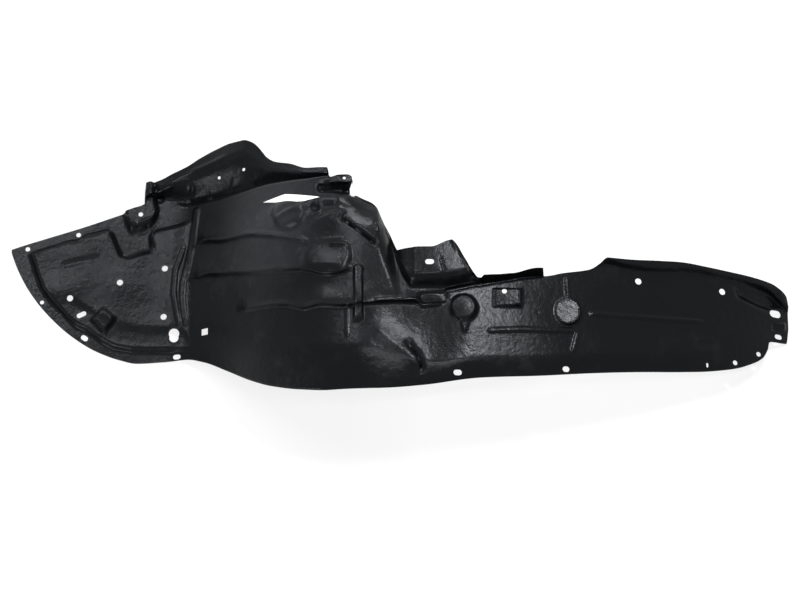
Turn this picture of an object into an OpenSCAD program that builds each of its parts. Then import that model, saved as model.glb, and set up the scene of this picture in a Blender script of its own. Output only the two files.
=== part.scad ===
// Front wheel arch liner: one sheet of black plastic, formed over a mould and trimmed.
// The car's length runs along X with the front at -X, Y points inboard and Z up.
// It rests as it lies on the ground, on its front panel and its rear end.

/* [Main sizes] */
// Thickness of the formed sheet
sheet_t = 2; // [1.6:0.1:2.6]
// Length of the front panel, from its tip to the foot of the arch
panel_len = 300; // [280:5:320]
// Length from the foot of the arch to its crown
front_run = 327; // [300:5:350]
// Length from the crown to the rear end
rear_run = 680; // [640:5:720]
// Height of the arch's crown above the ground
arch_h = 235; // [215:5:255]
// Height at which the straight front wall turns into the crown
front_wall_h = 125; // [110:5:140]
// Width of the front panel where it meets the arch
panel_w = 280; // [260:5:300]
// Width of the bulge over the suspension, without the wing
bulge_w = 357; // [335:5:380]
// Width of the rear band
band_w = 180; // [165:5:200]

/* [Front panel] */
// Height of the raised panel above its fixing flange
panel_step = 13; // [9:0.5:16]
// Width of the riser round the raised panel
panel_riser = 12; // [9:0.5:15]
// Side of the square block on the panel
block_side = 34; // [29:1:38]
// Height of the square block on the panel
block_h = 15; // [11:0.5:17]
// Height of the pad round the upper fixing hole
hole_pad_h = 15; // [11:0.5:18]
// Height of the two beads along the foot of the arch
foot_bead_h = 4; // [2:0.5:6]
// Width of the two beads along the foot of the arch
foot_bead_w = 11; // [9:0.5:14]

/* [Bulge] */
// Drop of the outer lip below the crown
lip_drop = 26; // [16:1:34]
// Width of the outer lip
lip_w = 75; // [55:1:90]
// Width over which the inner shoulder rounds down
shoulder_w = 80; // [60:1:95]
// Height of the ledges pressed across the bulge
ledge_h = 8; // [5:0.5:10]
// Width of the riser of a ledge
ledge_riser = 6; // [4:0.5:8]
// Height of the upright rib at the end of the ledges
end_rib_h = 7; // [4:0.5:9]
// Width of the upright rib
end_rib_w = 16; // [12:0.5:20]
// Depth of the slanting crease behind the bulge
crease_d = 6; // [4:0.5:8]
// Height of the oval pad beside the paper label
oval_h = 10; // [7:0.5:12]
// Height of the broad cushion beside the upright rib
cushion_h = 5; // [3:0.5:7]
// Depth of the recess under the tongue
recess_d = 20; // [14:1:24]
// Width of the flat band along the top of the wing
wing_band_w = 12; // [9:0.5:15]
// Depth of the groove across the wing's end
wing_groove_d = 6; // [4:0.5:8]

/* [Rear band] */
// Depth of the groove along the upstanding flange
gutter_d = 4; // [3:0.5:6]
// Width of the groove
gutter_w = 11; // [9:1:14]
// Depth of the flat well beside the mounting ledge
well_d = 5; // [3:0.5:7]
// Depth of the hollow beside the rear slots
rear_hollow_d = 6; // [4:0.5:8]
// Height of the flange along the rear inner edge
rear_flange_h = 14; // [9:0.5:18]
// Diameter of the front round boss at its foot
boss_a_d = 47; // [42:1:50]
// Height of the front round boss
boss_a_h = 12; // [9:0.5:14]
// Diameter of the rear round boss at its foot
boss_b_d = 47; // [42:1:50]
// Height of the rear round boss
boss_b_h = 6.5; // [5:0.5:8]
// Length of the oblong pad by the middle hole
oblong_len = 44; // [36:1:48]
// Width of the oblong pad
oblong_w = 27; // [22:1:30]
// Height of the oblong pad
oblong_h = 6; // [4:0.5:8]
// Height of the long rib on the band
long_rib_h = 3; // [2:0.5:5]
// Depth of the broad hollow between the bulge and the band
bowl_d = 8; // [5:0.5:10]
// Depth of the dent beside the outer edge
dent_d = 9; // [6:0.5:12]

/* [Fixing holes] */
// Diameter of the clip holes
clip_d = 10.5; // [8:0.5:12]
// Diameter of the screw holes along the edges
screw_d = 8; // [5:0.5:9]
// Diameter of the small locating holes
pin_d = 5; // [3:0.5:6]
// Width of the slotted holes
slot_w = 8.5; // [6:0.5:10]
// Side of the square hole
square_hole = 11; // [8:0.5:13]

/* [Paper label] */
// Length of the paper label
label_len = 60; // [50:1:66]
// Width of the paper label
label_w = 15; // [10:1:18]
// Slant of the label's ends along its length
label_slant = 34; // [0:1:38]
// Thickness of the paper label
label_t = 0.2; // [0.1:0.05:0.4]

/* [Hidden] */

// Positions are drawn in mm for the standard sizes: station along the car, then place across it.
// at() moves them with the lengths and widths that are set.
tip_s = -657;
foot_s = -357;
crown_s = -30;
rear_s = 650;
std_panel_w = 280;
std_bulge_w = 357;
std_band_w = 180;

// Outer edge, towards the wheel, from the front tip to the rear end
outer_edge = [
  [tip_s, 108], [-646, 80], [-624, 40], [-592, 0], [-551, -37], [-509, -63], [-469, -78], [-440, -84], [-398, -82],
  [-357, -80], [-326, -88], [-284, -110], [-241, -136], [-210, -151], [-160, -166], [-110, -173], [-36, -174],
  [40, -169], [126, -157], [222, -150], [320, -139], [387, -132], [455, -125], [505, -118], [548, -109],
  [576, -98], [599, -84], [610, -66], [613, -53], [645, -51], [rear_s, -25]
];
// Inner edge, with the wing, the tongue, the mounting ledge and the upstanding flanges
inner_edge = [
  [tip_s, 114], [-637, 121], [-587, 137], [-537, 153], [-486, 171], [-450, 184], [-433, 190], [-431, 226],
  [-419, 228], [-403, 232], [-390, 238], [-363, 251], [-339, 265], [-309, 276], [-284, 281], [-264, 281],
  [-251, 276], [-241, 268], [-232, 256], [-221, 240], [-209, 231], [-183, 223], [-154, 211], [-120, 209],
  [-114, 181.5], [-98, 184], [-81, 184], [-77, 180], [-75, 152], [-61, 148], [-49, 143], [-39, 137], [-28, 118], [-18, 88],
  [-10, 60], [-5, 47], [7, 45], [20, 45], [48, 45], [80, 56], [88, 50], [100, 31], [116, 8], [124, 1], [150, 3],
  [177, 8], [227, 18], [229, 11], [260, 18], [305, 28], [320, 37], [334, 47], [360, 47], [420, 51], [466, 54],
  [504, 52], [552, 50], [590, 48], [618, 45], [636, 38], [647, 28], [rear_s, 12]
];
// Line where the inner wall starts: the rim of the bulge, then the foot of the ledge and the flanges
wall_line = [
  [tip_s, 113], [-587, 134], [-500, 154], [-465, 166], [-433, 186], [-413, 191], [-363, 186], [-306, 186],
  [-228, 188], [-181, 185], [-146, 182], [-118, 182], [-85, 183], [-78, 178], [-75, 152], [-61, 142], [-49, 136],
  [-39, 127], [-30, 106], [-21, 82], [-12, 52], [-3, 20], [20, -20], [27, -19], [74, -17], [117, -7], [126, -5],
  [146, -3], [196, 8], [228, 12], [281, 15], [300, 20], [335, 38], [363, 33], [392, 32], [492, 40], [508, 38],
  [560, 36], [610, 30], [rear_s, 2]
];
// Rim from which the bulge's inner shoulder rounds down
rim_line = [
  [tip_s, 113], [-433, 186], [-363, 186], [-306, 186], [-228, 188], [-181, 184], [-146, 178], [-115, 170], [-90, 159],
  [-61, 141], [-39, 127], [-30, 106], [-12, 52], [20, -20], [rear_s, 2]
];
// Height that the inner wall rises, or drops where it is less than 0
wall_rises = [
  [tip_s, 0], [-390, 0], [-350, -12], [-300, -28], [-200, -45], [-120, -52], [-85, -60], [-60, -80], [-30, -64],
  [-8, 4], [8, 13], [20, 20], [28, 26], [112, 27], [124, 26], [200, 24], [227, 22], [229, 0], [300, 0], [335, 14],
  [560, 14], [rear_s, 9]
];
// Width in plan of the inner wall
wall_runs = [
  [tip_s, 12], [-60, 12], [-8, 14], [20, 22], [112, 22], [126, 7], [227, 7], [300, 10], [rear_s, 10]
];
// Ridge of the wing, and its height above the valley
wing_line = [
  [tip_s, 113.7], [-500, 163], [-445, 182], [-431, 196], [-402, 215], [-359, 228], [-298, 243], [-281, 247],
  [-262, 250], [-245, 242], [-225, 228], [-200, 216], [-150, 202], [-120, 199], [-114, 180], [-78, 181],
  [-75, 151], [-40, 133], [-28, 115], [-18, 84], [-10, 55], [-3, 38], [14, 24], [60, 26], [84, 36],
  [112, 12], [124, 0], [177, 7.5], [227, 17.5], [281, 22], [305, 26], [334, 43], [466, 50], [504, 48], [590, 43],
  [618, 38], [638, 26], [rear_s, 8]
];
wing_rises = [
  [tip_s, 0], [-440, 0], [-425, 14], [-390, 25], [-350, 34], [-300, 40], [-262, 38], [-230, 31], [-200, 26],
  [-150, 22], [-118, 18], [-112, 0], [rear_s, 0]
];
// Line of the raised panel, then of the shoulder and of the gutter
shoulder_line = [
  [tip_s, 112.5], [-622, 105], [-556, 127], [-540, 129], [-530, 137], [-496, 146], [-490, 142], [-471, 99],
  [-460, 96], [-422, 107], [-414, 144], [-379, 151], [-346, 158], [-300, 150], [-212, 130], [-170, 122],
  [-140, 116], [-101, 114], [-60, 90], [-20, 40], [0, -4], [20, -29], [74, -26], [118, -15], [146, -11],
  [196, 0], [228, 4], [281, 8], [310, 12], [400, 16], [520, 18], [600, 14], [rear_s, -2]
];
// Upper ledge of the bulge, then the outer side of the gutter
upper_ledge = [
  [tip_s, 111.5], [-600, 80], [-530, 80], [-440, 70], [-400, 95], [-351, 112], [-331, 118], [-290, 110],
  [-256, 107], [-225, 98], [-186, 83], [-144, 70], [-82, 58], [-40, 30], [0, -16], [20, -38], [74, -35],
  [118, -26], [146, -22], [196, -11], [228, -6], [300, -3], [400, 0], [520, 0], [600, -2], [rear_s, -8]
];
// Middle ledge of the bulge, then the middle of the band
middle_ledge = [
  [tip_s, 110.8], [-600, 62], [-530, 30], [-440, 30], [-359, 57], [-331, 59], [-285, 51], [-226, 36], [-156, 25],
  [-112, 12], [-72, 19], [-20, -12], [20, -52], [100, -52], [267, -44], [390, -43], [489, -38], [600, -24],
  [rear_s, -16]
];
// Lower ledge of the bulge, then the long rib of the band
lower_ledge = [
  [tip_s, 110.2], [-600, 52], [-560, 10], [-500, -20], [-380, -30], [-270, -17], [-239, -23], [-182, -30],
  [-153, -40], [-89, -43], [-56, -41], [-1, -50], [40, -66], [110, -78], [151, -80], [271, -76], [390, -72],
  [500, -64], [600, -44], [rear_s, -28]
];
// Crease of the outer lip
lip_line = [
  [tip_s, 109.4], [-627, 98], [-613, 75], [-601, 44], [-583, 22], [-561, -2], [-524, -28], [-500, -46], [-478, -57],
  [-448, -63], [-357, -63], [-300, -88], [-240, -112], [-160, -142], [-36, -148], [40, -139], [90, -126],
  [126, -123], [222, -116], [320, -106], [387, -99], [455, -92], [548, -77], [599, -56], [645, -44], [rear_s, -23]
];

// Spacing of the sheet's lines: how far the pair along each inner line stands below and above it, and the
// plain lines between them
pair_below = [5, 6, 6, 6, 5];
pair_above = [5, 1, 1, 1, 5];
ridge_half = 3;
least_pitch = 2;
between = [1, 2, 2, 2, 1, 2, 1, 1];
// Stations along the car: from, to and number of steps
spans = [
  [tip_s, -600, 5], [-600, -500, 5], [-500, -474, 2], [-474, -440, 5], [-440, -433, 1], [-433, -431, 1],
  [-431, -395, 5], [-395, -340, 8], [-340, -240, 7], [-240, -120, 8], [-120, -114, 1], [-114, -77, 4],
  [-77, -75, 1], [-75, -59, 3], [-59, -5, 6], [-5, 20, 3], [20, 28, 2], [28, 112, 5], [112, 124, 2],
  [124, 227, 4], [227, 229, 1], [229, 300, 3], [300, 336, 3], [336, 500, 6], [500, 610, 5], [610, 613, 1],
  [613, 645, 3], [645, rear_s, 1]
];

function ease(t) = let (u = max(0, min(1, t))) u * u * (3 - 2 * u);

// Smooth curve through points, which keeps flat where its points turn
function chord(p, i) = (p[i + 1][1] - p[i][1]) / (p[i + 1][0] - p[i][0]);
function slope(p, i) =
  i == 0 ? chord(p, 0)
  : i == len(p) - 1 ? chord(p, i - 1)
  : let (a = chord(p, i - 1), b = chord(p, i)) a * b > 0 ? 2 * a * b / (a + b) : 0;
function span_at(p, s, i = 0) = i >= len(p) - 2 || s < p[i + 1][0] ? i : span_at(p, s, i + 1);
function curve(p, s) =
  let (
    i = span_at(p, s),
    h = p[i + 1][0] - p[i][0],
    t = max(0, min(1, (s - p[i][0]) / h))
  )
  p[i][1] + (p[i + 1][1] - p[i][1]) * ease(t)
  + h * (slope(p, i) * t * (1 - t) * (1 - t) - slope(p, i + 1) * t * t * (1 - t));

// Place along the car and share of the width at a drawn station
function along(s) =
  s < foot_s ? crown_s - front_run - (foot_s - s) * panel_len / (foot_s - tip_s)
  : s < crown_s ? crown_s - (crown_s - s) * front_run / (crown_s - foot_s)
  : crown_s + (s - crown_s) * rear_run / (rear_s - crown_s);
widths = [
  [tip_s, panel_w / std_panel_w], [-440, panel_w / std_panel_w], [-250, bulge_w / std_bulge_w],
  [-40, bulge_w / std_bulge_w], [130, band_w / std_band_w], [rear_s, band_w / std_band_w]
];
function at(p) = [along(p[0]), p[1] * curve(widths, p[0])];

// A drawn path in its real place, with its box
function drawn(path) =
  let (q = [for (p = path) at(p)], x = [for (p = q) p[0]], y = [for (p = q) p[1]])
  [q, min(x), max(x), min(y), max(y)];
function far(p, d, reach) =
  p[0] < d[1] - reach || p[0] > d[2] + reach || p[1] < d[3] - reach || p[1] > d[4] + reach;
function gap(p, a, b) =
  let (ab = b - a, t = max(0, min(1, (p - a) * ab / (ab * ab))))
  norm(p - a - t * ab);
function path_gap(p, q, closed) =
  min([for (i = [0:len(q) - (closed ? 1 : 2)]) gap(p, q[i], q[(i + 1) % len(q)])]);
function crossings(p, q) = [
  for (i = [0:len(q) - 1]) let (a = q[i], b = q[(i + 1) % len(q)])
    if ((a[1] > p[1]) != (b[1] > p[1]) && p[0] < (b[0] - a[0]) * (p[1] - a[1]) / (b[1] - a[1]) + a[0]) 1
];

// Raised area inside a closed outline, with a riser of width w
function plateau(p, d, h, w) =
  far(p, d, w) ? 0
  : let (g = path_gap(p, d[0], true), side = len(crossings(p, d[0])) % 2 == 1 ? 1 : -1)
    h * ease(side * g / w + 0.5);
// Rounded bead along a path, w wide
function bead(p, d, h, w) =
  far(p, d, w / 2) ? 0
  : let (g = 2 * path_gap(p, d[0], false) / w)
    h * ease(1 - g * g);
// Ledge that steps up along a path and dies away inboard
ledge_ends = 25;
function ledge(p, d, h, w, fade) =
  far(p, d, fade) ? 0
  : let (
      g = p[1] - curve(d[0], p[0]),
      up = g >= 0 ? pow(max(0, 1 - g / fade), 2) : ease(1 + g / w)
    )
    h * up * ease((p[0] - d[1]) / ledge_ends) * ease((d[2] - p[0]) / ledge_ends);

// Height of the crown along the car: a soft foot, a straight wall, a rounded crown and an arc to the rear
rear_r = (rear_run * rear_run + arch_h * arch_h) / (2 * arch_h);
crown_reach = front_run / (1 + front_wall_h / (2 * (arch_h - front_wall_h)));
wall_slope = 2 * (arch_h - front_wall_h) / crown_reach;
foot_soft = 20;
function crown(x) =
  let (d = x - crown_s)
  d > 0 ? arch_h - rear_r + sqrt(rear_r * rear_r - d * d)
  : d > -crown_reach ? arch_h - (arch_h - front_wall_h) * pow(d / crown_reach, 2)
  : foot_soft * ln(1 + exp((front_wall_h + wall_slope * (d + crown_reach)) / foot_soft));

// Paths of the pressed features
panel_path = drawn([
  [-622, 104], [-556, 127], [-549, 126], [-540, 128], [-530, 137], [-496, 146], [-490, 142], [-471, 99],
  [-460, 96], [-422, 107], [-416, 113], [-420, 121], [-421, 139], [-414, 144], [-379, 151], [-352, 160],
  [-325, 60], [-325, -64], [-448, -62], [-478, -56], [-500, -45], [-524, -27], [-545, -17], [-561, -1],
  [-583, 23], [-601, 45], [-613, 77]
]);
panel_fade_s = -390;
panel_fade = 60;
hole_pad_path = drawn([
  [-467, 183], [-462, 160], [-455, 149], [-434, 153], [-417, 165], [-412, 179], [-416, 193], [-422, 240], [-467, 240]
]);
hole_pad_riser = 9;
foot_bead_a = drawn([[-366, 110], [-378, 72], [-380, 34], [-374, 0], [-370, -17]]);
foot_bead_b = drawn([[-344, 176], [-349, 122], [-355, 90], [-364, 52], [-365, 24], [-361, -12]]);
wing_groove_path = drawn([[-415, 213], [-398, 192]]);
wing_groove_w = 15;
upper_ledge_path = drawn([[-351, 112], [-331, 118], [-290, 110], [-256, 107], [-225, 98], [-186, 83], [-144, 70]]);
middle_ledge_path = drawn([[-359, 57], [-331, 59], [-285, 51], [-226, 36], [-156, 25], [-112, 12], [-72, 19]]);
lower_ledge_path = drawn([
  [-270, -17], [-239, -23], [-201, -27], [-182, -30], [-153, -40], [-130, -38], [-89, -43], [-56, -41], [-1, -37],
  [22, -37], [35, -44], [74, -40]
]);
ledge_fade = 55;
end_rib_path = drawn([[-67, 17], [-66.5, -62]]);
oval_path = drawn([[-210, 127], [-204, 143], [-179, 149], [-155, 134], [-153, 119], [-166, 101], [-194, 99]]);
oval_riser = 14;
cushion_path = drawn([[-154, 25], [-159, 51], [-150, 60], [-136, 64], [-120, 66], [-81, 63], [-80, 17]]);
cushion_riser = 13;
hollow_path = drawn([[-144, 125], [-119, 130]]);
hollow_d = 6;
hollow_w = 20;
crease_path = drawn([[-101, 110], [-39, 53]]);
crease_w = 16;
recess_path = drawn([[-136, 170], [-60, 168], [-60, 150], [-132, 154]]);
recess_riser = 9;
gutter_path = drawn([[74, -20], [116, -10], [146, -4], [195, 7], [225, 12]]);
well_path = drawn([[28, -24], [74, -20], [74, -39], [39, -46], [28, -40]]);
well_riser = 6;
rear_hollow_path = drawn([[554, 30], [595, 35], [630, 31], [635, 14], [613, 2], [591, 5], [559, 15]]);
rear_hollow_riser = 14;
long_rib_path = drawn([[138, -84], [151, -80], [215, -77], [271, -75]]);
rear_rib_path = drawn([[307, -45], [390, -43], [489, -38]]);
rib_fade = 30;
rib_riser = 6;
boss_tail_path = drawn([[101, -70], [101, -82]]);
boss_tail_h = 4;
boss_tail_w = 14;
dent_path = drawn([[6, -95], [19, -107], [31, -127], [35, -142]]);
dent_w = 22;
bowl_at = at([22, -92]);
bowl_r = 95;

// Everything that is pressed into the sheet, at a place in plan
function relief(p) =
  plateau(p, panel_path, panel_step, panel_riser) * (1 - ease((p[0] - along(panel_fade_s)) / panel_fade))
  + plateau(p, hole_pad_path, hole_pad_h, hole_pad_riser)
  + bead(p, foot_bead_a, foot_bead_h, foot_bead_w)
  + bead(p, foot_bead_b, foot_bead_h, foot_bead_w)
  - bead(p, wing_groove_path, wing_groove_d, wing_groove_w)
  + ledge(p, upper_ledge_path, ledge_h, ledge_riser, ledge_fade)
  + ledge(p, middle_ledge_path, ledge_h, ledge_riser, ledge_fade)
  + ledge(p, lower_ledge_path, ledge_h, ledge_riser, ledge_fade)
  + bead(p, end_rib_path, end_rib_h, end_rib_w)
  + plateau(p, oval_path, oval_h, oval_riser)
  + plateau(p, cushion_path, cushion_h, cushion_riser)
  - bead(p, hollow_path, hollow_d, hollow_w)
  - bead(p, crease_path, crease_d, crease_w)
  - plateau(p, recess_path, recess_d, recess_riser)
  - bead(p, gutter_path, gutter_d, gutter_w)
  - plateau(p, well_path, well_d, well_riser)
  - plateau(p, rear_hollow_path, rear_hollow_d, rear_hollow_riser)
  + ledge(p, long_rib_path, long_rib_h, rib_riser, rib_fade)
  + ledge(p, rear_rib_path, long_rib_h / 2, rib_riser, rib_fade)
  + bead(p, boss_tail_path, boss_tail_h, boss_tail_w)
  - bead(p, dent_path, dent_d, dent_w)
  - bowl_d * ease(1 - norm(p - bowl_at) / bowl_r);

// Shares of the lip's drop and width, and fall of the inner shoulder, along the car. The lip's slope is
// straight, with a soft fold at its top.
lip_shares = [[tip_s, 0], [-370, 0], [-260, 1], [-20, 0.85], [100, 0.5], [480, 0.35], [590, 0], [rear_s, 0]];
lip_widths = [[tip_s, 0.8], [-300, 1], [-60, 0.93], [20, 0.6], [80, 0.45], [rear_s, 0.4]];
lip_soft = 0.5;
function fold(t) = let (u = max(0, t)) u * u * (1 + lip_soft) / (u + lip_soft);
shoulder_falls = [
  [tip_s, 0], [-400, 0], [-300, 8], [-200, 18], [-100, 26], [-60, 38], [-20, 30], [10, 0], [rear_s, 0]
];

// Fall of the wing's outer strip for each mm across it
wing_strip_fall = 0.35;

// Height of the sheet's underside at a station, for a list of places across it; nothing goes below the ground
function heights_at(s, ys) =
  let (
    x = along(s),
    k = curve(widths, s),
    z = crown(x),
    edge = k * curve(outer_edge, s),
    rim = k * curve(wall_line, s),
    run = curve(wall_runs, s),
    wall = curve(wall_rises, s),
    foot = rim + run,
    shoulder = k * curve(rim_line, s),
    ridge = max(foot + 1, k * curve(wing_line, s)),
    wing = curve(wing_rises, s),
    strip = wing_strip_fall * min(1, wing / wing_band_w),
    lip = lip_drop * curve(lip_shares, s),
    lip_run = lip_w * curve(lip_widths, s),
    fall = curve(shoulder_falls, s)
  )
  [
    for (y = ys)
      max(0, z - lip * fold(1 - (y - edge) / lip_run)
      - fall * pow(max(0, 1 - max(0, shoulder - y) / shoulder_w), 2)
      + wall * ease((y - rim) / run)
      + wing * ease((y - foot) / (ridge - foot))
      - strip * max(0, y - ridge - wing_band_w)
      + relief([x, y]))
  ];

// Places across the sheet at a station: pairs along the lines, and plain lines between them, in order
function stack(y, pitch, i = 0, below = -1e9) =
  i == len(y) ? [] : let (v = max(y[i], below + pitch)) concat([v], stack(y, pitch, i + 1, v));
function section(s) =
  let (
    k = curve(widths, s),
    inner = [lip_line, lower_ledge, middle_ledge, upper_ledge, shoulder_line],
    edge = k * curve(outer_edge, s),
    rim = k * curve(wall_line, s),
    ridge = k * curve(wing_line, s),
    top = k * curve(inner_edge, s),
    pairs = concat(
      [[edge, edge]],
      [for (i = [0:len(inner) - 1]) let (c = k * curve(inner[i], s)) [c - pair_below[i], c + pair_above[i]]],
      [[rim, rim + curve(wall_runs, s)], [ridge - ridge_half, ridge + wing_band_w], [top, top]]
    ),
    n = len(pairs) - 1,
    raw = [
      for (i = [0:n]) each [
        each (i == 0 || i == n ? [pairs[i][0]] : pairs[i]),
        each (i == n ? [] : [
          for (j = [1:between[i]]) pairs[i][1] + (pairs[i + 1][0] - pairs[i][1]) * j / (between[i] + 1)
        ])
      ]
    ],
    m = len(raw) - 1,
    pitch = min(least_pitch, (top - edge) / m / 2),
    up = stack(raw, pitch)
  )
  [for (i = [0:m]) min(up[i], top - (m - i) * pitch)];

stations = concat([for (d = spans, i = [0:d[2] - 1]) d[0] + (d[1] - d[0]) * i / d[2]], [rear_s]);
sections = [for (s = stations) section(s)];
nu = len(stations) - 1;
nv = len(sections[0]) - 1;
heights = [for (i = [0:nu]) heights_at(stations[i], sections[i])];

// The sheet is as thick across its slope as on the flat, until a wall is so steep that it is this many
// times as thick upright
steepest = 2;
function place(i, j) = [along(stations[i]), sections[i][j], heights[i][j]];
function rise(i, j) =
  let (
    a = place(min(nu, i + 1), j) - place(max(0, i - 1), j),
    b = place(i, min(nv, j + 1)) - place(i, max(0, j - 1)),
    c = cross(a, b)
  )
  sheet_t * min(steepest, norm(c) / c[2]);
rises = [for (i = [0:nu]) [for (j = [0:nv]) rise(i, j)]];

// Part of a sheet as a closed solid, between two stations and two lines, from share a to share b of
// the thickness and moved up by lift and by lift + thick
module skin(i0, i1, j0, j1, share, lift, thick) {
  ni = i1 - i0;
  nj = j1 - j0;
  n = (ni + 1) * (nj + 1);
  under = [for (i = [i0:i1], j = [j0:j1]) place(i, j) + [0, 0, share * rises[i][j] + lift]];
  over = [for (i = [i0:i1], j = [j0:j1]) place(i, j) + [0, 0, rises[i][j] + lift + thick]];
  loop = concat(
    [for (i = [0:ni - 1]) i * (nj + 1)], [for (j = [0:nj - 1]) ni * (nj + 1) + j],
    [for (i = [ni:-1:1]) i * (nj + 1) + nj], [for (j = [nj:-1:1]) j]
  );
  polyhedron(
    points = concat(under, over),
    faces = concat(
      [
        for (i = [0:ni - 1], j = [0:nj - 1]) let (a = i * (nj + 1) + j, b = a + nj + 1)
          each [[a, b, b + 1], [a, b + 1, a + 1], [n + a, n + b + 1, n + b], [n + a, n + a + 1, n + b + 1]]
      ],
      [
        for (k = [0:len(loop) - 1]) let (a = loop[k], b = loop[(k + 1) % len(loop)])
          each [[a, n + b, b], [a, n + a, n + b]]
      ]
    ),
    convexity = 10
  );
}

// Places its children on the underside of the sheet, square to it
probe = 6;
module seat(p) {
  q = at(p);
  z = heights_at(p[0], [q[1]])[0];
  dx = (heights_at(p[0] + probe, [q[1]])[0] - heights_at(p[0] - probe, [q[1]])[0])
    / (along(p[0] + probe) - along(p[0] - probe));
  dy = (heights_at(p[0], [q[1] + probe])[0] - heights_at(p[0], [q[1] - probe])[0]) / (2 * probe);
  translate([q[0], q[1], z]) rotate([atan(dy / sqrt(1 + dx * dx)), -atan(dx), 0]) children();
}

// Cuts its children off level, at a height above the sheet's underside at a place
reach = 40;
module level_top(p, h) {
  q = at(p);
  intersection() {
    children();
    translate([q[0] - reach, q[1] - reach, heights_at(p[0], [q[1]])[0] - reach])
      cube([2 * reach, 2 * reach, reach + h]);
  }
}
// Round boss: the cup's outside, or its hollow, which is the same form less the sheet
boss_round = 3;
module round_boss(d, boss_draft, h, less) {
  r = d / 2 - less;
  top = h - less + sheet_t;
  foot = less > 0 ? -h : sheet_t / 2;
  rotate_extrude($fn = 64) polygon(concat(
    [[0, foot], [r, foot], [r, sheet_t / 2]],
    [for (a = [20:14:90]) [r - boss_draft + boss_round * (cos(a) - 1), top + boss_round * (sin(a) - 1)]],
    [[0, top]]
  ));
}
// Pad with round corners and sloping sides
pad_draft = 5;
pad_round = 4;
pad_top = 1;
module pad(length, width, h, less) {
  top = h - less + sheet_t;
  foot = less > 0 ? -h : sheet_t / 2;
  hull() {
    for (x = [-1, 1], y = [-1, 1]) {
      translate([x * (length / 2 - less - pad_round), y * (width / 2 - less - pad_round), foot])
        cylinder(h = sheet_t - foot, r = pad_round, $fn = 16);
      translate([
        x * (length / 2 - less - pad_round - pad_draft), y * (width / 2 - less - pad_round - pad_draft), top - pad_top
      ]) cylinder(h = pad_top, r = pad_round, $fn = 16);
    }
  }
}

// What stands up from the sheet as a form of its own, or its hollow
block_at = [-495, -10];
block_turn = 42;
boss_a_at = [100, -48];
boss_a_draft = 8;
boss_a_over = 2.5;
boss_b_at = [267, -45];
boss_b_draft = 4.5;
boss_b_over = 5.5;
oblong_at = [169, -29];
oblong_over = 4.5;
module raised_forms(less) {
  level_top(boss_a_at, boss_a_h + sheet_t - less)
    seat(boss_a_at) round_boss(boss_a_d, boss_a_draft, boss_a_h + boss_a_over, less);
  level_top(boss_b_at, boss_b_h + sheet_t - less)
    seat(boss_b_at) round_boss(boss_b_d, boss_b_draft, boss_b_h + boss_b_over, less);
  level_top(oblong_at, oblong_h + sheet_t - less)
    seat(oblong_at) pad(oblong_len, oblong_w, oblong_h + oblong_over, less);
  seat(block_at) rotate([0, 0, block_turn]) pad(block_side, block_side, block_h, less);
}

// Round holes: place and diameter; slots: place, length, width and direction
keyhole_d = clip_d + 7;
keyhole_tail_d = clip_d + 5;
tab_slot_w = slot_w + 4;
slit_w = 3.5;
holes = [
  [[-630, 115], screw_d], [[-545, 140], screw_d], [[-604, 21], screw_d], [[-439, 172], screw_d],
  [[-396, 77], clip_d], [[-471, 53], clip_d], [[-554, 26], clip_d], [[-396, -7], clip_d],
  [[-378, -36], keyhole_d], [[-378, -43], keyhole_tail_d],
  [[165, -19], screw_d], [[385, 16], clip_d], [[530, 18], clip_d],
  [[592, -78], screw_d], [[549, -99], screw_d],
  [[-305, 226], pin_d], [[-262, 231], pin_d], [[-91, 178], pin_d]
];
slots = [
  [[-534, -2], 17, slot_w, 25], [[-529, -40], 13, slot_w, -35], [[-373, -74], 13, slot_w, 0],
  [[46, 20], 14, slot_w, 0], [[90, -151], 13, slot_w, 0], [[263, -138], 11, slot_w, 0],
  [[626, -3], 20, tab_slot_w, 0], [[630, -42], 13, slot_w, 0], [[500, -109], 7, slit_w, 90]
];
square_hole_at = [-325, -38];
// Notch beside the tongue's tip
notch = [[-74, 182], [-76, 176], [-82.5, 165], [-81.5, 152], [-79, 146], [-74, 146]];
cut_h = 4 * arch_h;
module hole(p, d) {
  translate([p[0], p[1], 0]) cylinder(h = cut_h, d = d, center = true, $fn = 32);
}
module slot(p, length, width, turn) {
  reach = (length - width) / 2;
  translate([p[0], p[1], 0]) rotate([0, 0, turn]) {
    for (side = [-1, 1]) translate([side * reach, 0, 0]) cylinder(h = cut_h, d = width, center = true, $fn = 32);
    cube([2 * reach, width, cut_h], center = true);
  }
}
module cuts() {
  for (h = holes) hole(at(h[0]), h[1]);
  for (s = slots) slot(at(s[0]), s[1], s[2], s[3]);
  translate([at(square_hole_at)[0], at(square_hole_at)[1], 0]) cube([square_hole, square_hole, cut_h], center = true);
  linear_extrude(cut_h) polygon([for (p = notch) at(p)]);
}

// The part stands with the middle of its box on the axis
mid_x = (along(tip_s) + along(rear_s)) / 2;
mid_y = (min([for (s = sections) s[0]]) + max([for (s = sections) s[nv]])) / 2;

module liner() {
  color("#1c1e20")
  translate([-mid_x, -mid_y, 0])
  difference() {
    union() {
      skin(0, nu, 0, nv, 0, 0, 0);
      raised_forms(0);
    }
    raised_forms(sheet_t);
    cuts();
  }
}

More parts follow.
